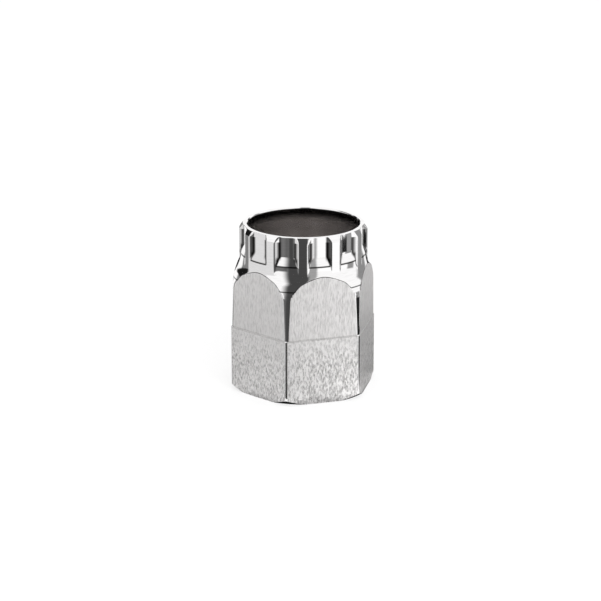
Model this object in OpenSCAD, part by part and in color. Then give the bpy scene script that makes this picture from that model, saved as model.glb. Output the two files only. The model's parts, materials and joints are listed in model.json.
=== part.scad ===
// A tool for taking a screwed-on gear cluster off a bicycle hub. It is one piece of steel:
// a hexagon for the spanner, a turned shoulder, and a thin-walled crown with a ring of splines.
// It stands on the end of its hexagon, with the origin at the centre of that end and +Z up.

/* [Hexagon] */
// Size across the flats of the lower half, where the spanner grips
across_flats = 24; // [23:0.5:36]
// Radius that rounds the hexagon's six long edges
edge_radius = 0.7; // [0.2:0.1:1.5]
// Height of the lower half, from the foot to the fine step that runs round the flats
lower_height = 12.2; // [9:0.1:20]
// How far the flats of the upper half stand back behind the lower ones
flat_step = 0.1; // [0.02:0.01:0.2]
// How far the turning cuts back the sharp edges of the upper half just above the step
edge_cut_low = 0.3; // [0.1:0.05:0.4]
// How far the turning cuts back the sharp edges of the upper half at its top, under the shoulder
edge_cut_top = 0.5; // [0.2:0.05:1]
// Height of the upper half, from the step to the start of the shoulder
upper_height = 9.1; // [5:0.1:20]
// Width of the chamfer turned round the foot, measured inwards from a sharp edge
foot_chamfer = 1.4; // [0.6:0.1:1.8]
// Angle of the foot's chamfer above the horizontal
foot_angle = 38; // [20:1:55]

/* [Shoulder] */
// Radius that rounds the shoulder's outer rim
rim_radius = 0.8; // [0.3:0.1:1.5]
// Radius of the hollow flare that leads from the shoulder up to the neck
flare_radius = 5; // [3:0.1:8]

/* [Splined crown] */
// Number of splines
spline_count = 12; // [8:1:16]
// How far the splines' tops lie inside the flats, so that the crown cleans up all round
spline_inset = 0.3; // [0.1:0.05:1.5]
// Depth of the grooves between the splines
groove_depth = 0.7; // [0.4:0.05:1.2]
// How far the neck, where the flare ends, lies below the tops of the splines
neck_relief = 0.12; // [0.02:0.01:0.3]
// Width of a spline across its flat land
land_width = 1.6; // [1:0.1:2]
// Angle of a spline's flanks from the radial direction
flank_angle = 40; // [10:1:45]
// Height of the ramp on which a groove runs out to the neck
ramp_height = 1.7; // [0.8:0.1:3]
// Height of the crown from the neck to its top face, with the ramps
crown_height = 5.4; // [4.5:0.1:12]
// Height of the lead-in chamfer at the top of the splines
lead_height = 0.95; // [0.3:0.05:1.5]
// Width of the lead-in chamfer, measured inwards from the splines' tops
lead_width = 0.6; // [0.2:0.05:1]
// Turn of the splines round the axis, measured from an edge of the hexagon
spline_turn = 12.7; // [0:0.1:30]

/* [Bore] */
// Wall of the crown between the wide bore, for the hub's axle nut, and the grooves' floors
crown_wall = 0.8; // [0.6:0.1:2]
// Depth of the wide bore, from the crown's top face to its flat floor
bore_depth = 18.7; // [10:0.1:22]
// Diameter of the hole through the hexagon end, for the axle and its skewer
hole_diameter = 14; // [10:0.1:15]
// Chamfer at the mouth of the wide bore
bore_chamfer = 0.2; // [0.1:0.05:0.3]
// Chamfer at each end of the hole through the hexagon end
hole_chamfer = 0.6; // [0.2:0.1:1]

/* [Hidden] */
$fn = 120;
EPS = 0.01;
RUN_PAST = 1;

corner_radius = across_flats / sqrt(3);
foot_radius = corner_radius - foot_chamfer;
turned_radius_low = corner_radius - edge_cut_low;
turned_radius_top = corner_radius - edge_cut_top;
spline_radius = across_flats / 2 - spline_inset;
neck_radius = spline_radius - neck_relief;
groove_radius = spline_radius - groove_depth;
top_radius = spline_radius - lead_width;
bore_radius = groove_radius - crown_wall;
hole_radius = hole_diameter / 2;

// The shoulder is two arcs, the rim and the flare, that leave upright lines and touch each
// other. Both turn by one angle, which comes from how far the neck stands inside the edges.
neck_inset = turned_radius_top - neck_radius;
arc_angle = acos(1 - neck_inset / (rim_radius + flare_radius));
rim_steps = 4;
flare_steps = 12;

shoulder_z = lower_height + upper_height;
neck_z = shoulder_z + (rim_radius + flare_radius) * sin(arc_angle);
ramp_top_z = neck_z + ramp_height;
top_z = neck_z + crown_height;
bore_floor_z = top_z - bore_depth;

// Points of the rim's arc, going up from the turned edges
function rim_arc() = [
    for (step = [0 : rim_steps])
        let (angle = arc_angle * step / rim_steps)
        [
            turned_radius_top - rim_radius * (1 - cos(angle)),
            shoulder_z + rim_radius * sin(angle)
        ]
];

// Points of the flare's arc, going on up from the rim's arc to the neck
function flare_arc() = [
    for (step = [1 : flare_steps])
        let (angle = arc_angle * (1 - step / flare_steps))
        [
            neck_radius + flare_radius * (1 - cos(angle)),
            neck_z - flare_radius * sin(angle)
        ]
];

// Outline of a hexagon with corners on the X axis and rounded by the given radius
module rounded_hexagon(flats, radius) {
    core_flats = flats - 2 * radius;
    core_side = core_flats / sqrt(3);
    for (turn = [0 : 60 : 120]) {
        rotate(turn) square([core_side, flats], center = true);
    }
    for (corner = [0 : 60 : 300]) {
        rotate(corner) translate([core_side, 0]) circle(r = radius);
    }
}

// Envelope that is turned on the lower half: the chamfer round its foot
module foot_envelope() {
    reach = across_flats;
    rotate_extrude() {
        polygon([
            [0, 0],
            [foot_radius, 0],
            [reach, (reach - foot_radius) * tan(foot_angle)],
            [reach, lower_height],
            [0, lower_height]
        ]);
    }
}

// Half section of the turned part above the step: tapered edges, rim, flare, neck, ramps and
// the floor of the grooves
module turned_section() {
    polygon([
        [0, lower_height - EPS],
        [turned_radius_low, lower_height - EPS],
        each rim_arc(),
        each flare_arc(),
        [groove_radius, ramp_top_z],
        [groove_radius, top_z],
        [0, top_z]
    ]);
}

// Lower half of the hexagon, with its foot turned to a chamfer
module lower_half() {
    intersection() {
        linear_extrude(lower_height) rounded_hexagon(across_flats, edge_radius);
        foot_envelope();
    }
}

// Upper half of the hexagon with its turned edges, the shoulder and the neck in one
module upper_half() {
    intersection() {
        linear_extrude(top_z) rounded_hexagon(across_flats - 2 * flat_step, edge_radius);
        rotate_extrude() turned_section();
    }
}

// Plan of one spline that points along +X: a land with a flank sloping away on each side
module spline_plan() {
    root_x = bore_radius + (groove_radius - bore_radius) / 2;
    tip_x = spline_radius + RUN_PAST;
    land_half = land_width / 2;
    slope = tan(flank_angle);
    polygon([
        [root_x, -land_half - (spline_radius - root_x) * slope],
        [spline_radius, -land_half],
        [tip_x, -land_half],
        [tip_x, land_half],
        [spline_radius, land_half],
        [root_x, land_half + (spline_radius - root_x) * slope]
    ]);
}

// Blank that the splines are cut from: a cylinder with the lead-in chamfer at its top
module crown_blank() {
    rotate_extrude() {
        polygon([
            [0, shoulder_z],
            [spline_radius, shoulder_z],
            [spline_radius, top_z - lead_height],
            [top_radius, top_z],
            [0, top_z]
        ]);
    }
}

// Ring of splines, which stand on the grooves' floor and run down into the flare
module splines() {
    intersection() {
        crown_blank();
        for (index = [0 : spline_count - 1]) {
            rotate(spline_turn + index * 360 / spline_count) {
                translate([0, 0, shoulder_z]) linear_extrude(top_z - shoulder_z) spline_plan();
            }
        }
    }
}

// Stepped passage along the axis, with a chamfer at each mouth
module passage() {
    translate([0, 0, bore_floor_z]) cylinder(r = bore_radius, h = bore_depth + RUN_PAST);
    translate([0, 0, top_z - bore_chamfer]) {
        cylinder(r1 = bore_radius, r2 = bore_radius + bore_chamfer, h = bore_chamfer);
    }
    translate([0, 0, -RUN_PAST]) cylinder(r = hole_radius, h = bore_floor_z + 2 * RUN_PAST);
    cylinder(r1 = hole_radius + hole_chamfer, r2 = hole_radius, h = hole_chamfer);
    translate([0, 0, bore_floor_z - hole_chamfer]) {
        cylinder(r1 = hole_radius, r2 = hole_radius + hole_chamfer, h = hole_chamfer);
    }
}

// The whole tool, one piece of bright steel
module remover_body() {
    color("silver") {
        difference() {
            union() {
                lower_half();
                upper_half();
                splines();
            }
            passage();
        }
    }
}

remover_body();
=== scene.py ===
"""Looks of a freewheel remover: a splined steel tool that stands on its hexagon.

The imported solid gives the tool's place and overall size. One smooth body with rounded edges stands
for it here, with satin forged flats, a bright turned shoulder and crown, and a dark bore.
"""

import json
import math
from collections import namedtuple

import bmesh
import bpy
import numpy as np
from bpy.props import FloatProperty, FloatVectorProperty, IntProperty, PointerProperty
from mathutils import Matrix, Vector


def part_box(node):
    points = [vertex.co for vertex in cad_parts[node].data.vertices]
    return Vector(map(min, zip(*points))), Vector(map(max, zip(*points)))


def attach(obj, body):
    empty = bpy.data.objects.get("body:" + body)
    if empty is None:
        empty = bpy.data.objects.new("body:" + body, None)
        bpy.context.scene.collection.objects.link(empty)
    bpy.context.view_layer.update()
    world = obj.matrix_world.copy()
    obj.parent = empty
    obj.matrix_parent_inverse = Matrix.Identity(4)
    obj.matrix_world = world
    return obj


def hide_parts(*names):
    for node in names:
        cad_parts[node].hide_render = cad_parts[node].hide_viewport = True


bl_info = {
    "name": "Freewheel Remover",
    "version": (1, 0, 0),
    "blender": (4, 5, 0),
    "location": "3D View > Sidebar > Remover",
    "description": "Builds a splined freewheel remover and the studio it stands in",
    "category": "Add Mesh",
}

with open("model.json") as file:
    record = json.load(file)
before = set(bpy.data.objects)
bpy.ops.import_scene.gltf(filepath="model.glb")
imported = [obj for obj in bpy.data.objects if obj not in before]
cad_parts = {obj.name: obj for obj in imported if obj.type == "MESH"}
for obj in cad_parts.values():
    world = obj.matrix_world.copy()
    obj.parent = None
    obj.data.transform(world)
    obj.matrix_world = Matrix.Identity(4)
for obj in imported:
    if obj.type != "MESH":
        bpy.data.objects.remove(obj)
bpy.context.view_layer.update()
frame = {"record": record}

NODE = "remover_body"
BODY = "root"
MM = 0.001
FLATS = 6
MOUNTS = {mount["name"]: mount for mount in frame["record"]["mounts"]}
NODE_LOW, NODE_HIGH = (Vector(corner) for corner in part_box(NODE))


def length(name, description, millimetres):
    """A size in the sidebar, given here in millimetres."""
    return FloatProperty(
        name=name, description=description, default=millimetres * MM, precision=5,
        subtype="DISTANCE", unit="LENGTH",
    )


def angle(name, description, degrees):
    """An angle in the sidebar, given here in degrees."""
    return FloatProperty(
        name=name, description=description, default=math.radians(degrees),
        subtype="ANGLE", unit="ROTATION",
    )


def colour(name, description, value):
    """A colour in the sidebar."""
    return FloatVectorProperty(
        name=name, description=description, default=value, size=3, min=0.0, max=1.0,
        subtype="COLOR",
    )


def share(name, description, value, most=1.0):
    """A plain number in the sidebar, such as a roughness."""
    return FloatProperty(name=name, description=description, default=value, min=0.0, max=most)


class HexagonSizes(bpy.types.PropertyGroup):
    across_flats: length(
        "Across Flats", "Size across the flats of the lower half",
        (NODE_HIGH.y - NODE_LOW.y) / MM,
    )
    edge_radius: length("Edge Radius", "Rounding of the hexagon's long edges", 0.7)
    lower_height: length("Lower Height", "Height of the step that runs round the flats", 12.2)
    flat_step: length("Flat Step", "How far the upper flats stand back behind the lower", 0.1)
    edge_cut_low: length("Low Edge Cut", "Turning off the edges just above the step", 0.3)
    edge_cut_top: length("Top Edge Cut", "Turning off the edges under the shoulder", 0.5)
    upper_height: length("Upper Height", "Height from the step to the shoulder", 9.1)
    foot_chamfer: length("Foot Chamfer", "Width of the chamfer turned round the foot", 1.4)
    foot_angle: angle("Foot Angle", "Rise of the foot's chamfer above the floor", 38)


class CrownSizes(bpy.types.PropertyGroup):
    rim_radius: length("Rim Radius", "Rounding of the shoulder's rim", 0.8)
    flare_radius: length("Flare Radius", "Hollow flare from the shoulder to the neck", 5)
    spline_radius: length(
        "Spline Radius", "Radius over the tops of the splines",
        MOUNTS["splined_crown"]["dims"]["r_mm"],
    )
    spline_count: IntProperty(
        name="Splines", description="Number of splines",
        default=MOUNTS["splined_crown"]["dims"]["count"],
    )
    groove_depth: length("Groove Depth", "Depth of the grooves between the splines", 0.7)
    neck_relief: length("Neck Relief", "How far the neck lies below the splines' tops", 0.12)
    land_width: length("Land Width", "Width of a spline across its land", 1.6)
    flank_angle: angle("Flank Angle", "Lean of a spline's flanks from the radial direction", 40)
    ramp_height: length("Ramp Height", "Height of the ramp at the end of a groove", 1.7)
    lead_height: length("Lead Height", "Height of the lead-in chamfer of the splines", 0.95)
    lead_width: length("Lead Width", "Width of the lead-in chamfer of the splines", 0.6)
    spline_turn: angle("Spline Turn", "Turn of the splines from an edge of the hexagon", 12.7)


class BoreSizes(bpy.types.PropertyGroup):
    bore_radius: length(
        "Bore Radius", "Radius of the wide bore in the crown",
        MOUNTS["axle_bore"]["dims"]["r_mm"],
    )
    bore_depth: length("Bore Depth", "Depth of the wide bore from the top face", 18.7)
    bore_chamfer: length("Bore Chamfer", "Chamfer at the mouth of the wide bore", 0.2)
    hole_radius: length(
        "Hole Radius", "Radius of the hole through the hexagon end",
        MOUNTS["skewer_hole"]["dims"]["r_mm"],
    )
    hole_chamfer: length("Hole Chamfer", "Chamfer at the ends of that hole", 0.6)


class SteelFinish(bpy.types.PropertyGroup):
    forged_dark: colour("Forged Dark", "Hollows of the flats' grain", (0.42, 0.41, 0.405))
    forged_light: colour("Forged Light", "Crests of the flats' grain", (1.0, 0.985, 0.98))
    bright: colour("Bright", "Turned and plated steel", (0.97, 0.96, 0.96))
    bore: colour("Bore", "Unpolished steel inside the bore", (0.86, 0.83, 0.817))
    # Painted shade: a dark line in the ledge where the upper flats step back.
    seam: colour("Seam", "Fine line round the flats at the step", (0.3, 0.29, 0.285))
    # Painted shade: this colour darkens the corners and creases of the turned steel.
    crease: colour("Crease", "Painted shade in the corners of the turned steel", (0.05, 0.048, 0.047))
    # Painted shade: the bore's wall darkened just under its mouth, where the rim shades it.
    mouth: colour("Mouth Shade", "Dark band just under the bore's mouth", (0.03, 0.028, 0.028))
    forged_metallic: share("Forged Metallic", "How metallic the satin flats are", 0.7)
    forged_roughness: share("Forged Roughness", "Roughness of the flats", 0.42)
    bright_roughness: share("Bright Roughness", "Roughness of the turned steel", 0.05)
    bore_roughness: share("Bore Roughness", "Roughness of the bore's wall", 0.26)


class StudioSetup(bpy.types.PropertyGroup):
    camera_turn: angle("Camera Turn", "Turn of the camera round the tool", -17.14)
    camera_rise: angle("Camera Rise", "Height of the camera above the horizon", 17.89)
    camera_distance: length("Camera Distance", "From the tool's axis to the camera", 400)
    aim_height: length("Aim Height", "Height of the point on the axis that is lined up", 12.2)
    aim_x: share("Aim X", "Where that point shows in the picture, in pixels", 303.4, 601)
    aim_y: share("Aim Y", "Where that point shows in the picture, in pixels", 319.5, 601)
    picture_width: share("Picture Width", "Width of the picture, in pixels", 601, 4096)
    scale: share("Scale", "Pixels for each millimetre at the axis", 5.42, 100)
    lamp_turn: angle("Lamp Turn", "Turn of the lamp from the camera, to its right", 20)
    lamp_rise: angle("Lamp Rise", "Height of the lamp above the horizon", 40)
    lamp_distance: length("Lamp Distance", "From the tool's foot to the lamp", 500)
    lamp_size: length("Lamp Size", "Width of the square lamp", 300)
    lamp_power: share("Lamp Power", "Power of the lamp, in watts", 0.75, 10)
    background: colour("Background", "Floor and backdrop", (1.0, 1.0, 1.0))


def smooth_min(a, b, width):
    """The lesser of two radii, rounded over where they are within a width of each other."""
    mix = np.clip(0.5 + 0.5 * (b - a) / width, 0.0, 1.0)
    return b * (1.0 - mix) + a * mix - width * mix * (1.0 - mix)


def smooth_max(a, b, width):
    """The greater of two radii, with a fillet of that width where they cross."""
    return -smooth_min(-a, -b, width)


def smooth_step(low, high, value):
    """Goes from 0 to 1 between two values, gently at both ends."""
    t = np.clip((value - low) / (high - low), 0.0, 1.0)
    return t * t * (3.0 - 2.0 * t)


def edge_fall(radius, distance):
    """How far a rounded edge has dropped at a distance from the face that it rounds into."""
    left = np.clip(radius - distance, 0.0, radius)
    return radius - np.sqrt(radius**2 - left**2)


class ToolForm:
    """The tool's outer surface, as a radius for each angle round the axis and each height."""

    # Rounding of the outer corners, the inner ones, the foot's edge and the top's edge.
    CORNER = 0.12 * MM
    FILLET = 0.16 * MM
    FOOT_EDGE = 0.14 * MM
    TOP_EDGE = 0.09 * MM
    # How far a flat's mark spills over its rounded edge, and where it fades.
    FLAT_SPILL = 0.04 * MM
    FLAT_FADE = (-0.01 * MM, 0.03 * MM)
    # Half the width of the painted shade lines, and how far each lies from the corner it follows.
    ARC_LINE, ARC_REACH = 0.13 * MM, 2 * MM
    RAMP_LINE, RAMP_RISE = 0.2 * MM, 0.05 * MM
    FOOT_LINE, FOOT_RISE = 0.42 * MM, 0.1 * MM
    # Share of that half width which is fully dark, and a distance that is in no line.
    LINE_CORE, FAR_OFF = 0.35, 9.0
    ARC_SAMPLES = 400

    def __init__(self, hexagon, crown, bore):
        self.hexagon, self.crown, self.bore = hexagon, crown, bore
        self.top_z = NODE_HIGH.z
        self.apothem = hexagon.across_flats / 2
        corner = self.apothem / math.cos(math.pi / FLATS)
        self.foot_radius = corner - hexagon.foot_chamfer
        self.turned_low = corner - hexagon.edge_cut_low
        self.turned_top = corner - hexagon.edge_cut_top
        self.neck = crown.spline_radius - crown.neck_relief
        self.groove = crown.spline_radius - crown.groove_depth
        self.step_z = hexagon.lower_height
        self.shoulder_z = self.step_z + hexagon.upper_height
        arcs = crown.rim_radius + crown.flare_radius
        turn = math.acos(1.0 - (self.turned_top - self.neck) / arcs)
        self.blend_z = self.shoulder_z + crown.rim_radius * math.sin(turn)
        self.neck_z = self.shoulder_z + arcs * math.sin(turn)
        self.ramp_top_z = self.neck_z + crown.ramp_height
        self.lead_z = self.top_z - crown.lead_height
        self.bore_floor_z = self.top_z - bore.bore_depth

    def from_edge(self, turn):
        """Angle from the nearest edge of the hexagon, signed."""
        pitch = 2 * math.pi / FLATS
        return (turn + pitch / 2) % pitch - pitch / 2

    def hexagon_radius(self, turn, set_back):
        """Radius of the hexagon with its rounded edges, its flats set back by a distance."""
        flat = self.apothem - set_back
        rounding = self.hexagon.edge_radius
        half = math.pi / FLATS
        off_edge = np.abs(self.from_edge(turn))
        straight = flat / np.cos(half - off_edge)
        centre = (flat - rounding) / math.cos(half)
        under = np.clip(rounding**2 - (centre * np.sin(off_edge)) ** 2, 0.0, None)
        rounded = centre * np.cos(off_edge) + np.sqrt(under)
        flat_starts = half - np.arctan((flat - rounding) * math.tan(half) / flat)
        return np.where(off_edge < flat_starts, rounded, straight)

    def turned_radius(self, z):
        """Radius of the turned surface above the step: edges, rim, flare, ramp and grooves."""
        crown = self.crown
        rise = np.clip((z - self.step_z) / (self.shoulder_z - self.step_z), 0.0, 1.0)
        edges = self.turned_low + (self.turned_top - self.turned_low) * rise
        over_rim = np.clip(z - self.shoulder_z, 0.0, crown.rim_radius)
        rim = self.turned_top - crown.rim_radius + np.sqrt(crown.rim_radius**2 - over_rim**2)
        under_neck = np.clip(self.neck_z - z, 0.0, crown.flare_radius)
        flare = self.neck + crown.flare_radius - np.sqrt(crown.flare_radius**2 - under_neck**2)
        outside = np.where(z < self.shoulder_z, edges, np.where(z < self.blend_z, rim, flare))
        slope = (self.neck - self.groove) / crown.ramp_height
        ramp = self.neck - (z - self.neck_z) * slope
        ramp_edge = smooth_min(outside, ramp, 0.5 * self.CORNER)
        return smooth_max(ramp_edge, self.groove, 0.5 * self.FILLET)

    def spline_radius(self, turn, z):
        """Radius of the splines alone: their lands, flanks and lead-in."""
        crown = self.crown
        pitch = 2 * math.pi / crown.spline_count
        off_spline = np.abs((turn - crown.spline_turn + pitch / 2) % pitch - pitch / 2)
        lean = math.tan(crown.flank_angle)
        reach = crown.land_width / 2 + crown.spline_radius * lean
        flank = reach / (np.sin(off_spline) + lean * np.cos(off_spline))
        lead = crown.spline_radius - (z - self.lead_z) * crown.lead_width / crown.lead_height
        land = smooth_min(np.full_like(z, crown.spline_radius), lead, self.CORNER)
        return smooth_min(land, flank, self.CORNER)

    def outer_radius(self, turn, z):
        """Radius of the tool's outside."""
        foot = self.foot_radius + z / math.tan(self.hexagon.foot_angle)
        lower = smooth_min(self.hexagon_radius(turn, 0.0), foot, self.CORNER)
        lower = lower - edge_fall(self.FOOT_EDGE, z)
        crown = smooth_max(self.turned_radius(z), self.spline_radius(turn, z), self.FILLET)
        crown = crown - edge_fall(self.TOP_EDGE, self.top_z - z)
        flats = self.hexagon_radius(turn, self.hexagon.flat_step)
        upper = smooth_min(flats, crown, self.CORNER)
        half_step = 0.5 * self.hexagon.flat_step
        mix = smooth_step(self.step_z - half_step, self.step_z + half_step, z)
        return lower * (1.0 - mix) + upper * mix

    def flat_share(self, turn, z):
        """1 on the hexagon's flats, 0 on what is turned or rounded, with a narrow edge."""
        below = z < self.step_z
        set_back = np.where(below, 0.0, self.hexagon.flat_step)
        flat = self.apothem - set_back
        off_edge = np.abs(self.from_edge(turn))
        straight = flat / np.cos(math.pi / FLATS - off_edge)
        foot = self.foot_radius + z / math.tan(self.hexagon.foot_angle)
        crown = smooth_max(self.turned_radius(z), self.spline_radius(turn, z), self.FILLET)
        rounded = self.hexagon_radius(turn, set_back) + self.FLAT_SPILL
        room = np.where(below, np.minimum(foot, rounded), np.minimum(crown, rounded))
        return smooth_step(*self.FLAT_FADE, room - straight)

    def crease_height(self, turn):
        """Height of the line where the shoulder cuts the flats, at an angle round the axis."""
        z = np.linspace(self.shoulder_z, self.neck_z, self.ARC_SAMPLES)
        radius = self.turned_radius(z)
        flats = self.hexagon_radius(turn, self.hexagon.flat_step)
        return np.interp(-flats, -radius, z)

    def shade_line_share(self, turn, z):
        """1 in the painted shade lines round the flats' arcs, the ramps and the splines' feet."""
        splines = self.spline_radius(turn, z)
        arc = np.abs(z - self.crease_height(turn)) / self.ARC_LINE
        arc = np.where(z > self.shoulder_z - self.ARC_REACH, arc, self.FAR_OFF)
        ramp = np.abs(z - self.neck_z - self.RAMP_RISE) / self.RAMP_LINE
        ramp = np.where(splines < self.neck - self.RAMP_RISE, ramp, self.FAR_OFF)
        foot = np.abs(splines - self.turned_radius(z) - self.FOOT_RISE) / self.FOOT_LINE
        on_flank = splines < self.crown.spline_radius - self.FOOT_RISE
        on_flank &= (z > self.neck_z) & (z < self.lead_z)
        foot = np.where(on_flank, foot, self.FAR_OFF)
        nearest = np.minimum(np.minimum(arc, ramp), foot)
        return 1.0 - smooth_step(self.LINE_CORE, 1.0, nearest)

    def foot_height(self, turn):
        """Height of the line where the foot's chamfer cuts the flats."""
        rise = self.hexagon_radius(turn, 0.0) - self.foot_radius
        return np.maximum(rise * math.tan(self.hexagon.foot_angle), 2 * self.FOOT_EDGE)

    def strip_half(self, z):
        """Half the angle of the turned or rounded strip up an edge of the hexagon."""
        flat = self.apothem - self.hexagon.flat_step
        turned = np.clip(self.turned_radius(z), self.turned_top, None)
        upper = math.pi / FLATS - np.arccos(flat / turned)
        inner = self.apothem - self.hexagon.edge_radius
        lower = math.pi / FLATS - math.atan(inner * math.tan(math.pi / FLATS) / self.apothem)
        return np.where(z < self.step_z, lower, upper)


def crowded(count, pull):
    """Fractions from just above 0 to 1 that crowd towards both ends, more for a greater pull."""
    t = np.arange(1, count + 1) / count
    return t - pull * np.sin(2 * np.pi * t) / (2 * np.pi)


Row = namedtuple("Row", "turn radius z flat inside crease")


class BodyGrid:
    """Rows and columns of points on the tool: a closed section, spun round the axis.

    Up to STRIP columns from an edge of the hexagon lie on its strip, and the flat starts at
    STRIP_EDGE. SPLINE_MARKS are the columns at a spline's middle, on both sides of its land's
    edge, on both sides of its foot, and in the middle of the groove. The columns have gone
    over from the hexagon to the splines at UNDER_NECK below the neck.
    """

    HALF_PITCH = 16
    STRIP = 6
    STRIP_EDGE = 10
    STRIP_MARGIN = math.radians(0.3)
    SPLINE_MARKS = (0, 4, 7, 9, 12, HALF_PITCH)
    SPLINE_MARGIN = math.radians(0.4)
    UNDER_NECK = 1.2 * MM
    FLOOR_FILLET = 0.4 * MM
    FILLET_ROWS = 5

    def __init__(self, form):
        self.form = form
        self.pitch_columns = 2 * self.HALF_PITCH
        self.columns = self.pitch_columns * form.crown.spline_count
        self.index = np.arange(self.columns)
        self.rows = []
        self.build()

    def hexagon_turns(self, strip_half):
        """Angles of the columns where they follow the hexagon's edges."""
        per_edge = self.columns // FLATS
        half = per_edge // 2
        step = (self.index + half) % per_edge - half
        edge = (self.index + half) // per_edge * (2 * math.pi / FLATS)
        low = strip_half - self.STRIP_MARGIN
        high = strip_half + self.STRIP_MARGIN
        last = math.pi / FLATS
        count = np.abs(step)
        inner = low * count / self.STRIP
        near = low + (high - low) * (count - self.STRIP) / (self.STRIP_EDGE - self.STRIP)
        outer = high + (last - high) * (count - self.STRIP_EDGE) / (half - self.STRIP_EDGE)
        off = np.where(count < self.STRIP, inner, np.where(count < self.STRIP_EDGE, near, outer))
        return edge + np.sign(step) * off

    def crown_turns(self):
        """Angles of the columns where they follow the splines' lands and roots."""
        crown, form = self.form.crown, self.form
        pitch = 2 * math.pi / crown.spline_count
        lean = math.tan(crown.flank_angle)
        land = crown.land_width / 2
        land_turn = math.asin(land / crown.spline_radius)
        root_turn = math.asin((land + crown.groove_depth * lean) / form.groove)
        margin = self.SPLINE_MARGIN
        places = [
            0.0, land_turn - margin, land_turn + margin,
            root_turn - margin, root_turn + margin, pitch / 2,
        ]
        first = round(crown.spline_turn / pitch * self.pitch_columns)
        from_first = self.index - first
        step = (from_first + self.HALF_PITCH) % self.pitch_columns - self.HALF_PITCH
        spline = (from_first + self.HALF_PITCH) // self.pitch_columns
        off = np.interp(np.abs(step), self.SPLINE_MARKS, places)
        return crown.spline_turn + spline * pitch + np.sign(step) * off

    def outside_row(self, z):
        """Adds a row on the outside, at a height for each column."""
        form = self.form
        hexagon = self.hexagon_turns(form.strip_half(z))
        above = smooth_step(form.shoulder_z, form.neck_z - self.UNDER_NECK, z)
        turn = hexagon + (self.crown_turns() - hexagon) * above
        radius = form.outer_radius(turn, z)
        flat, crease = form.flat_share(turn, z), form.shade_line_share(turn, z)
        self.rows.append(Row(turn, radius, z, flat, np.zeros(self.columns), crease))

    def face_row(self, turn, radius, z, inside):
        """Adds a row on a turned face or wall, at one height."""
        ones = np.ones(self.columns)
        nothing = np.zeros(self.columns)
        self.rows.append(Row(turn, radius * ones, z * ones, nothing, inside * ones, nothing))

    def band(self, low, high, count, pull):
        """Adds rows on the outside between two lines that run round the tool."""
        for part in crowded(count, pull):
            start = low(self.last_turn)
            end = high(self.last_turn)
            self.outside_row(start + (end - start) * part)
            self.last_turn = self.rows[-1].turn

    def wall(self, start, end, count, pull, inside):
        """Adds rows from one radius and height to another inside the tool."""
        for part in crowded(count, pull):
            radius = start[0] + (end[0] - start[0]) * part
            z = start[1] + (end[1] - start[1]) * part
            self.face_row(self.inner_turns, radius, z, inside)

    def build(self):
        """Goes up the outside, over the top, down the bore and back under the foot."""
        self.build_outside()
        self.build_top()
        self.build_bore()
        self.build_underside()

    def build_outside(self):
        """Adds the rows from the foot to the top.

        Each band has its lower line, its number of rows and how much they crowd to its ends.
        """
        form = self.form

        def level(z):
            return lambda turn: np.full_like(turn, z)

        half_step = 0.5 * form.hexagon.flat_step
        bands = (
            (level(0.0), 10, 0.7),
            (form.foot_height, 14, 0.96),
            (level(form.step_z - half_step), 4, 0.0),
            (level(form.step_z + half_step), 16, 0.97),
            (form.crease_height, 22, 0.6),
            (level(form.neck_z), 12, 0.7),
            (level(form.ramp_top_z), 8, 0.9),
            (level(form.lead_z), 14, 0.75),
            (level(form.top_z), 0, 0.0),
        )
        self.outside_row(np.zeros(self.columns))
        self.last_turn = self.rows[-1].turn
        for (low, count, pull), (high, *_) in zip(bands, bands[1:]):
            self.band(low, high, count, pull)

    def build_top(self):
        """Adds the top face and the chamfer at the bore's mouth."""
        form, bore = self.form, self.form.bore
        turns, radii = self.rows[-1].turn, self.rows[-1].radius
        mouth = bore.bore_radius + bore.bore_chamfer
        throat_z = form.top_z - bore.bore_chamfer
        self.inner_turns = turns
        for part in crowded(count=4, pull=0.5):
            self.face_row(turns, radii + (mouth - radii) * part, form.top_z, inside=0.0)
        throat = (bore.bore_radius, throat_z)
        self.wall((mouth, form.top_z), throat, count=3, pull=0.5, inside=0.0)

    def build_bore(self):
        """Adds the bore's wall and floor, and the hole with its two chamfers."""
        form, bore, fillet = self.form, self.form.bore, self.FLOOR_FILLET
        wide, hole, floor_z = bore.bore_radius, bore.hole_radius, form.bore_floor_z
        throat = (wide, form.top_z - bore.bore_chamfer)
        self.wall(throat, (wide, floor_z + fillet), count=8, pull=0.95, inside=1.0)
        for part in np.linspace(1.0 / self.FILLET_ROWS, 1.0, self.FILLET_ROWS):
            bend = part * math.pi / 2
            radius = wide - fillet * (1.0 - math.cos(bend))
            z = floor_z + fillet * (1.0 - math.sin(bend))
            self.face_row(self.inner_turns, radius, z, inside=1.0)
        rim = hole + bore.hole_chamfer
        path = (
            ((wide - fillet, floor_z), 4, 0.8),
            ((rim, floor_z), 3, 0.5),
            ((hole, floor_z - bore.hole_chamfer), 5, 0.95),
            ((hole, bore.hole_chamfer), 3, 0.5),
            ((rim, 0.0), 0, 0.0),
        )
        for (start, count, pull), (end, *_) in zip(path, path[1:]):
            self.wall(start, end, count, pull, inside=1.0)

    def build_underside(self):
        """Adds the face that the tool stands on."""
        first, turns = self.rows[0], self.inner_turns
        rim = self.form.bore.hole_radius + self.form.bore.hole_chamfer
        for part in crowded(count=6, pull=0.8)[:-1]:
            turn = turns + (first.turn - turns) * part
            self.face_row(turn, rim + (first.radius - rim) * part, z=0.0, inside=0.0)


def finish_mesh(name, bm, smooth=True):
    """Makes an object at the origin of a finished bmesh."""
    mesh = bpy.data.meshes.new(name)
    bm.to_mesh(mesh)
    bm.free()
    mesh.polygons.foreach_set("use_smooth", [smooth] * len(mesh.polygons))
    piece = bpy.data.objects.new(name, mesh)
    bpy.context.scene.collection.objects.link(piece)
    return piece


FLAT_SLOT, BRIGHT_SLOT, BORE_SLOT = range(3)


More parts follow.
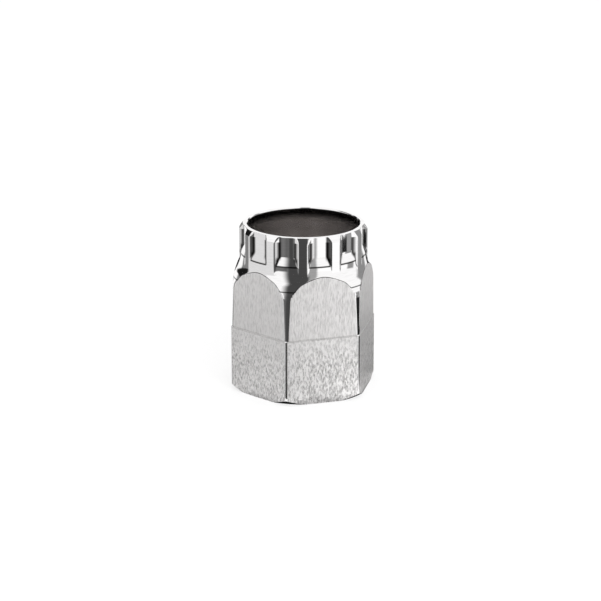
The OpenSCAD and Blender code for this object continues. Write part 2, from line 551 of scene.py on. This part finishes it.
def spun_body(grid):
    """Spins a closed section round the axis and seats its points on the tool's surface."""
    bm = bmesh.new()
    row_of = bm.verts.layers.int.new("row")
    flat_of = bm.verts.layers.float.new("flat")
    inside_of = bm.verts.layers.float.new("inside")
    crease_shade_of = bm.verts.layers.float.new("crease")
    section = []
    for number, row in enumerate(grid.rows):
        vert = bm.verts.new((row.radius[0], 0.0, row.z[0]))
        vert[row_of] = number
        section.append(vert)
    edges = [bm.edges.new((a, b)) for a, b in zip(section, section[1:] + section[:1])]
    bmesh.ops.spin(
        bm, geom=section + edges, cent=(0, 0, 0), axis=(0, 0, 1), dvec=(0, 0, 0),
        angle=2 * math.pi, steps=grid.columns, use_merge=True, use_duplicate=False,
    )
    pitch = 2 * math.pi / grid.columns
    for vert in bm.verts:
        column = round(math.atan2(vert.co.y, vert.co.x) / pitch) % grid.columns
        point = Row(*(line[column] for line in grid.rows[vert[row_of]]))
        across = (math.cos(point.turn), math.sin(point.turn))
        vert.co = (point.radius * across[0], point.radius * across[1], point.z)
        vert[flat_of], vert[inside_of], vert[crease_shade_of] = point.flat, point.inside, point.crease
    bmesh.ops.recalc_face_normals(bm, faces=bm.faces)
    # Two corners inside put a face in the bore, and more than two on a flat put it there.
    for face in bm.faces:
        inside = sum(vert[inside_of] for vert in face.verts)
        flat = sum(vert[flat_of] for vert in face.verts)
        if inside >= 2.0:
            face.material_index = BORE_SLOT
        elif flat > 2.0:
            face.material_index = FLAT_SLOT
        else:
            face.material_index = BRIGHT_SLOT
    return finish_mesh("remover", bm)


# Sizes of the grain: spots across and up, for each metre.
COARSE_GRAIN = (3800.0, 1500.0)
FINE_GRAIN = (4600.0, 900.0)
TURNING_MARKS = (500.0, 5000.0)
BORE_SPOTS = (900.0, 400.0)
BORE_CLOUDS = (150.0, 60.0)

# Noise values at a hollow and at a crest of the grain, and the height from one to the other.
GRAIN_CUT = (0.32, 0.56)
GRAIN_DEPTH = 0.09 * MM
# Above the step: the share of the fine grain, and the level that it is added to.
FINE_GAIN, FINE_BASE = 0.35, 0.38
# Below it, the coarse grain comes in over a distance, from a share of it at the step. The rest
# is at an even level, darker than the grain: painted shade just under the step that lightens
# downwards.
UNDER_STEP_REACH, GRAIN_AT_STEP, UNDER_STEP_SHADE_LEVEL = 6 * MM, 0.45, 0.62
# The painted shade line at the step starts and is full at these distances from the step.
STEP_LINE_REACH, STEP_LINE_CORE, STEP_LINE_SHADE_STRENGTH = 0.3 * MM, 0.05 * MM, 0.38
# Tones of the turning marks and of the bore, and the share of clouds among its spots.
MARKS_TONE = 0.94
BORE_LIGHT, BORE_DARK, CLOUD_SHARE = 1.16, 0.90, 0.75
# The painted shade band starts and is full at these depths under the bore's mouth.
MOUTH_SHADE_START, MOUTH_SHADE_FULL = 2.6 * MM, 0.9 * MM


def solid(value, tone=1.0):
    """A colour as a node takes it, brighter or darker by a tone."""
    return (*(tone * part for part in value), 1.0)


class Nodes:
    """Short calls for building one material or node group."""

    def __init__(self, tree):
        self.tree = tree

    def add(self, kind, **settings):
        """A node; a setting that starts with in_ sets the input of that name."""
        node = self.tree.nodes.new(kind)
        for key, value in settings.items():
            if key.startswith("in_"):
                node.inputs[key[3:].replace("_", " ")].default_value = value
            else:
                setattr(node, key, value)
        return node

    def link(self, source, target):
        self.tree.links.new(source, target)

    def feed(self, target, value):
        """Links an output to an input, or sets the input to a plain value."""
        if isinstance(value, bpy.types.NodeSocket):
            self.link(value, target)
        else:
            target.default_value = value

    def math(self, operation, *values):
        """The result of a sum on outputs and plain numbers."""
        node = self.add("ShaderNodeMath", operation=operation)
        for target, value in zip(node.inputs, values):
            self.feed(target, value)
        return node.outputs[0]

    def mix(self, kind, factor, a, b):
        """Two numbers or colours mixed by a factor."""
        node = self.add("ShaderNodeMix", data_type=kind)
        for name, value in (("Factor", factor), ("A", a), ("B", b)):
            self.feed(node.inputs[name], value)
        return node.outputs["Result"]

    def spread(self, value, low, high, shape="SMOOTHSTEP", **settings):
        """A number carried from between low and high to between 0 and 1."""
        node = self.add("ShaderNodeMapRange", interpolation_type=shape, **settings)
        node.inputs["From Min"].default_value = low
        node.inputs["From Max"].default_value = high
        self.link(value, node.inputs["Value"])
        return node.outputs["Result"]

    def blend(self, factor, first, second):
        """Two shaders mixed by a factor."""
        node = self.add("ShaderNodeMixShader")
        for target, source in zip(node.inputs, (factor, first, second)):
            self.link(source, target)
        return node.outputs[0]

    def height(self):
        """Height of a point above the floor, from Object coordinates."""
        place = self.add("ShaderNodeTexCoord")
        parts = self.add("ShaderNodeSeparateXYZ")
        self.link(place.outputs["Object"], parts.inputs[0])
        return parts.outputs["Z"]

    def grain(self, group, size):
        """The grain's mask, at a size of its own."""
        spots = self.add("ShaderNodeGroup", node_tree=group)
        spots.inputs["Across"].default_value, spots.inputs["Up"].default_value = size
        return spots.outputs["Mask"]

    def surface(self, shader, output="ShaderNodeOutputMaterial"):
        """Makes a shader the surface of the material or the world."""
        self.link(shader, self.add(output).inputs["Surface"])


def grain_group():
    """Pickled grain: fine spots drawn out upwards, as a mask from 0 to 1."""
    group = bpy.data.node_groups.new("forged_grain", "ShaderNodeTree")
    for name, way in (("Across", "INPUT"), ("Up", "INPUT"), ("Mask", "OUTPUT")):
        group.interface.new_socket(name, in_out=way, socket_type="NodeSocketFloat")
    make = Nodes(group)
    inputs = make.add("NodeGroupInput")
    outputs = make.add("NodeGroupOutput")
    place = make.add("ShaderNodeTexCoord")
    size = make.add("ShaderNodeCombineXYZ")
    for axis, name in (("X", "Across"), ("Y", "Across"), ("Z", "Up")):
        make.link(inputs.outputs[name], size.inputs[axis])
    scaled = make.add("ShaderNodeVectorMath", operation="MULTIPLY")
    make.link(place.outputs["Object"], scaled.inputs[0])
    make.link(size.outputs[0], scaled.inputs[1])
    spots = make.add("ShaderNodeTexNoise", in_Scale=1.0, in_Detail=5.0, in_Roughness=0.62)
    make.link(scaled.outputs[0], spots.inputs["Vector"])
    mask = make.spread(spots.outputs["Fac"], *GRAIN_CUT, shape="LINEAR")
    make.link(mask, outputs.inputs["Mask"])
    return group


def empty_material(name):
    """A material whose node tree is still empty."""
    material = bpy.data.materials.new(name)
    material.use_nodes = True
    material.node_tree.nodes.clear()
    return material, Nodes(material.node_tree)


def new_material(name, metallic, roughness):
    """A material with one Principled shader."""
    material, make = empty_material(name)
    shader = make.add("ShaderNodeBsdfPrincipled", in_Metallic=metallic, in_Roughness=roughness)
    make.surface(shader.outputs["BSDF"])
    return material, make, shader


def forged_flat(finish, grain, step_height):
    """Satin flats with an upright grain that is coarser and deeper below the step.

    Painted shade darkens them just under the step, and a painted shade line runs along it.
    """
    material, make, shader = new_material(
        "forged_flat", finish.forged_metallic, finish.forged_roughness
    )
    up = make.height()
    below = make.math("LESS_THAN", up, step_height)
    shallow = make.math("MULTIPLY_ADD", make.grain(grain, FINE_GRAIN), FINE_GAIN, FINE_BASE)
    # Grain, and painted shade: darker and smoother just under the step, lighter towards the foot.
    grain_under_step = make.spread(up, step_height, step_height - UNDER_STEP_REACH, in_To_Min=GRAIN_AT_STEP)
    deep = make.mix("FLOAT", grain_under_step, UNDER_STEP_SHADE_LEVEL, make.grain(grain, COARSE_GRAIN))
    height = make.mix("FLOAT", below, shallow, deep)
    tone = make.mix("RGBA", height, solid(finish.forged_dark), solid(finish.forged_light))
    # Painted shade: a dark line along the step's ledge.
    away = make.math("ABSOLUTE", make.math("SUBTRACT", up, step_height))
    seam = make.spread(away, STEP_LINE_REACH, STEP_LINE_CORE, in_To_Max=STEP_LINE_SHADE_STRENGTH)
    make.link(make.mix("RGBA", seam, tone, solid(finish.seam)), shader.inputs["Base Color"])
    bump = make.add("ShaderNodeBump", in_Strength=1.0, in_Distance=GRAIN_DEPTH)
    make.link(height, bump.inputs["Height"])
    make.link(bump.outputs["Normal"], shader.inputs["Normal"])
    return material


def turned_bright(finish, grain):
    """Bright plating with faint turning marks, and painted shade lines where the crease mask is."""
    material, make, shader = new_material("turned_bright", 1.0, finish.bright_roughness)
    marks = make.grain(grain, TURNING_MARKS)
    tone = make.mix("RGBA", marks, solid(finish.bright, MARKS_TONE), solid(finish.bright))
    # Painted shade: the crease mask darkens the plating in its corners and creases.
    crease = make.add("ShaderNodeAttribute", attribute_name="crease")
    lined = make.mix("RGBA", crease.outputs["Fac"], tone, solid(finish.crease))
    make.link(lined, shader.inputs["Base Color"])
    return material


def bore_steel(finish, grain, mouth_height):
    """Unpolished steel inside the bore, with a smooth painted shade band just under its mouth."""
    material, make, shader = new_material("bore_steel", 1.0, finish.bore_roughness)
    spots, clouds = make.grain(grain, BORE_SPOTS), make.grain(grain, BORE_CLOUDS)
    mottle = make.mix("FLOAT", CLOUD_SHARE, spots, clouds)
    tone = make.mix("RGBA", mottle, solid(finish.bore, BORE_LIGHT), solid(finish.bore, BORE_DARK))
    # Painted shade under the bore's mouth.
    band = make.spread(make.height(), mouth_height - MOUTH_SHADE_START, mouth_height - MOUTH_SHADE_FULL)
    make.link(make.mix("RGBA", band, tone, solid(finish.mouth)), shader.inputs["Base Color"])
    return material


class MakeRemover(bpy.types.Operator):
    """Builds the tool's body and gives it its steel"""

    bl_idname = "remover.make_body"
    bl_label = "Make Body"

    def execute(self, context):
        scene = context.scene
        form = ToolForm(scene.remover_hexagon, scene.remover_crown, scene.remover_bore)
        body = spun_body(BodyGrid(form))
        grain = grain_group()
        finish = scene.remover_finish
        body.data.materials.append(forged_flat(finish, grain, form.step_z))
        body.data.materials.append(turned_bright(finish, grain))
        body.data.materials.append(bore_steel(finish, grain, form.top_z))
        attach(body, BODY)
        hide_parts(NODE)
        return {"FINISHED"}


Screen = namedtuple("Screen", "name start end low top shade feather")
Mat = namedtuple("Mat", "name start end near far lift shade feather")

# Screens that run over the floor and then up, each a little nearer than the one before it.
# Turns are in degrees from the camera, positive to its right, and rises from the horizon.
SCREENS = (
    Screen("dark_gap", -39, 22, 0, 82, 0.06, 15),
    Screen("dark_table", -52, -24, 0, 5, 0.08, 6),
    Screen("grey_right", 8, 27, 0, 60, 0.36, 6),
    Screen("grey_left", -112, -47, 0, 22, 0.74, 5),
    Screen("dim_left", -136, -106, 0, 60, 0.22, 6),
    Screen("wedge_left", -152, -108, 4, 34, 0.01, 5),
    Screen("dim_right", 102, 140, 0, 42, 0.27, 8),
    Screen("black_left", -168, -149, 0, 25, 0.015, 4),
    Screen("black_right", 144, 158, 0, 25, 0.015, 4),
    Screen("valley_right", 80, 100, 0, 5, 0.22, 5),
)
# Mats just above the floor; their near and far ends and their lift are in millimetres.
MATS = (
    Mat("mat_left", -128, -58, 13.9, 78, 0.5, 0.30, 8),
    # A painted shadow: a dark sheet where the floor lies in the tool's shade at its right.
    Mat("floor_shadow_right", 58, 190, 13.9, 50, 0.5, 0.01, 8),
    Mat("mat_edge", 66, 98, 13.9, 88, 0.6, 0.02, 4),
    Mat("mat_slit", 74, 88, 76, 114, 0.7, 0.02, 3),
)
# In millimetres: a screen's points on the floor, how far off it stands, how much nearer the
# next one stands, and its lift above the floor with what the next one adds to it.
FLOOR_POINTS = (17, 25.5, 136)
SCREEN_FAR, SCREEN_GAP = 600, 8
SCREEN_LIFT, SCREEN_LIFT_STEP = 0.2, 0.02
SCREEN_ROWS, CARD_STEPS = 12, 48
SCREEN_FADE = math.radians(6)
FOOT_SHADE_RADIUS, FOOT_SHADE_LIFT, FOOT_SHADE = 13.7 * MM, 0.1 * MM, 0.01
# Width of the floor in metres, and the part of it that is plain white.
FLOOR_SIZE, FLOOR_GLOW = 6.0, 0.7
CAMERA_CLIP = (0.01, 50.0)


def plain_sheet(name, size):
    """A flat square round the origin."""
    bm = bmesh.new()
    bmesh.ops.create_grid(bm, x_segments=1, y_segments=1, size=size / 2)
    return finish_mesh(name, bm, smooth=False)


def floor_material(background):
    """Pale floor: white to the camera and in reflections, yet it keeps some of the shadow."""
    material, make = empty_material("pale_floor")
    matte = make.add("ShaderNodeBsdfDiffuse", in_Color=solid(background))
    white = make.add("ShaderNodeEmission", in_Color=solid(background), in_Strength=1.0)
    path = make.add("ShaderNodeLightPath")
    seen = make.math("MAXIMUM", path.outputs["Is Camera Ray"], path.outputs["Is Glossy Ray"])
    seen = make.math("MAXIMUM", seen, path.outputs["Is Transmission Ray"])
    glow = make.math("MULTIPLY", seen, FLOOR_GLOW)
    make.surface(make.blend(glow, matte.outputs[0], white.outputs[0]))
    return material


def screen_material(name, shade):
    """A studio screen of even brightness that fades out towards its edges."""
    material, make = empty_material(name)
    glow = make.add("ShaderNodeEmission", in_Color=(shade, shade, shade, 1.0))
    clear = make.add("ShaderNodeBsdfTransparent")
    cover = make.add("ShaderNodeAttribute", attribute_name="cover")
    make.surface(make.blend(cover.outputs["Fac"], clear.outputs[0], glow.outputs[0]))
    return material


def finish_card(name, bm, shade):
    """Makes a screen of a bmesh and leaves it to the reflections alone."""
    card = finish_mesh(name, bm)
    card.data.materials.append(screen_material(name, shade))
    card.visible_camera = False
    card.visible_diffuse = False
    card.visible_shadow = False
    card.visible_transmission = False


def screen_section(screen, layer):
    """Side view of a screen: distances, heights and how much it covers there."""
    far = (SCREEN_FAR - SCREEN_GAP * layer) * MM
    lift = (SCREEN_LIFT + SCREEN_LIFT_STEP * layer) * MM
    low, top = math.radians(screen.low), math.radians(screen.top)
    rises = np.linspace(low, top, SCREEN_ROWS)
    points = []
    if screen.low == 0:
        points = [(part * MM, lift) for part in FLOOR_POINTS] + [(far, lift)]
        rises = rises[1:]
    points += [(far * math.cos(rise), lift + far * math.sin(rise)) for rise in rises]
    section = []
    for distance, height in points:
        rise = math.atan2(height, distance)
        cover = smooth_step(0.0, SCREEN_FADE, top - rise)
        if screen.low > 0:
            cover *= smooth_step(0.0, 0.5 * SCREEN_FADE, rise - low)
        section.append((distance, height, cover))
    return section


def mat_section(mat):
    """Side view of a mat, which covers evenly from its near end to its far end."""
    middle = (mat.near + mat.far) / 2
    return [(part * MM, mat.lift * MM, 1.0) for part in (mat.near, middle, mat.far)]


def spun_card(card, setup, section):
    """Spins the side view of a screen or mat round the tool and fades it out at both ends."""
    start, end, feather = (math.radians(part) for part in (card.start, card.end, card.feather))
    bm = bmesh.new()
    cover_of = bm.verts.layers.float.new("cover")
    chain = []
    for distance, height, cover in section:
        vert = bm.verts.new((distance, 0.0, height))
        vert[cover_of] = float(cover)
        chain.append(vert)
    edges = [bm.edges.new(pair) for pair in zip(chain, chain[1:])]
    towards_camera = setup.camera_turn - math.pi / 2
    to_start = Matrix.Rotation(towards_camera + start, 3, "Z")
    bmesh.ops.rotate(bm, cent=(0, 0, 0), matrix=to_start, verts=chain)
    bmesh.ops.spin(
        bm, geom=chain + edges, cent=(0, 0, 0), axis=(0, 0, 1), dvec=(0, 0, 0),
        angle=end - start, steps=CARD_STEPS, use_merge=False, use_duplicate=False,
    )
    middle = towards_camera + (start + end) / 2
    half = (end - start) / 2
    for vert in bm.verts:
        turn = math.atan2(vert.co.y, vert.co.x) - middle
        turn = abs((turn + math.pi) % (2 * math.pi) - math.pi)
        vert[cover_of] *= float(smooth_step(0.0, feather, half - turn))
    finish_card(card.name, bm, card.shade)


def foot_shade():
    """A dark disc under the tool, which its chamfered foot shows."""
    bm = bmesh.new()
    bmesh.ops.create_circle(bm, cap_ends=True, segments=64, radius=FOOT_SHADE_RADIUS)
    bmesh.ops.translate(bm, vec=(0, 0, FOOT_SHADE_LIFT), verts=bm.verts)
    cover_of = bm.verts.layers.float.new("cover")
    for vert in bm.verts:
        vert[cover_of] = 1.0
    finish_card("foot_shade", bm, FOOT_SHADE)


def studio_world(scene, background):
    """An even, pale surround."""
    world = bpy.data.worlds.new("studio")
    scene.world = world
    world.use_nodes = True
    world.node_tree.nodes.clear()
    make = Nodes(world.node_tree)
    surround = make.add("ShaderNodeBackground", in_Color=solid(background), in_Strength=1.0)
    make.surface(surround.outputs[0], "ShaderNodeOutputWorld")


def from_camera(setup, turn, rise):
    """The direction from the tool at a turn from the camera and a rise above the horizon."""
    turn += setup.camera_turn - math.pi / 2
    flat = math.cos(rise)
    return Vector((math.cos(turn) * flat, math.sin(turn) * flat, math.sin(rise)))


def soft_lamp(setup):
    """A large square lamp that faces the tool and doesn't show in it."""
    data = bpy.data.lights.new("front_lamp", "AREA")
    data.shape = "SQUARE"
    data.size = setup.lamp_size
    data.energy = setup.lamp_power
    lamp = bpy.data.objects.new("front_lamp", data)
    away = from_camera(setup, setup.lamp_turn, setup.lamp_rise)
    lamp.location = away * setup.lamp_distance
    lamp.rotation_euler = away.to_track_quat("Z", "Y").to_euler()
    lamp.visible_glossy = False
    bpy.context.scene.collection.objects.link(lamp)


class MakeStudio(bpy.types.Operator):
    """Sets up the floor, the surround, the lamp, the screens and the camera"""

    bl_idname = "remover.make_studio"
    bl_label = "Make Studio"

    def execute(self, context):
        scene = context.scene
        setup = scene.remover_studio
        scene.view_settings.view_transform = "Standard"
        floor = plain_sheet("floor", FLOOR_SIZE)
        floor.data.materials.append(floor_material(setup.background))
        studio_world(scene, setup.background)
        soft_lamp(setup)
        for layer, screen in enumerate(SCREENS):
            spun_card(screen, setup, screen_section(screen, layer))
        for mat in MATS:
            spun_card(mat, setup, mat_section(mat))
        foot_shade()
        self.add_camera(scene, setup)
        return {"FINISHED"}

    def add_camera(self, scene, setup):
        """The photo's camera: its place, its lens and where it aims."""
        back = from_camera(setup, 0.0, setup.camera_rise)
        facing = (-back).to_track_quat("-Z", "Y")
        right = facing @ Vector((1, 0, 0))
        up = facing @ Vector((0, 1, 0))
        lined_up = Vector((0, 0, setup.aim_height))
        centre = setup.picture_width / 2
        millimetre = MM / setup.scale
        aim = lined_up - right * (setup.aim_x - centre) * millimetre
        aim += up * (setup.aim_y - centre) * millimetre
        data = bpy.data.cameras.new("camera")
        focal = setup.scale * setup.camera_distance / MM
        data.lens = focal * data.sensor_width / setup.picture_width
        camera = bpy.data.objects.new("camera", data)
        camera.location = lined_up + back * setup.camera_distance
        look = (aim - camera.location).to_track_quat("-Z", "Y")
        camera.rotation_euler = look.to_euler()
        data.clip_start, data.clip_end = CAMERA_CLIP
        scene.collection.objects.link(camera)
        scene.camera = camera


class RemoverPanel(bpy.types.Panel):
    """Lists the operators that build the tool and its studio"""

    bl_idname = "VIEW3D_PT_remover"
    bl_label = "Remover"
    bl_space_type = "VIEW_3D"
    bl_region_type = "UI"
    bl_category = "Remover"

    def draw(self, context):
        layout = self.layout
        for operator in OPERATORS:
            layout.operator(operator.bl_idname)
        for group in GROUPS:
            holder = getattr(context.scene, group)
            for name in holder.__annotations__:
                layout.prop(holder, name)


GROUPS = {
    "remover_hexagon": HexagonSizes,
    "remover_crown": CrownSizes,
    "remover_bore": BoreSizes,
    "remover_finish": SteelFinish,
    "remover_studio": StudioSetup,
}
OPERATORS = (MakeRemover, MakeStudio)
CLASSES = (*GROUPS.values(), *OPERATORS, RemoverPanel)


def register():
    for cls in CLASSES:
        bpy.utils.register_class(cls)
    for name, group in GROUPS.items():
        setattr(bpy.types.Scene, name, PointerProperty(type=group))


def unregister():
    for name in GROUPS:
        delattr(bpy.types.Scene, name)
    for cls in reversed(CLASSES):
        bpy.utils.unregister_class(cls)


def main():
    register()
    bpy.ops.remover.make_body()
    bpy.ops.remover.make_studio()


if __name__ == "__main__":
    main()
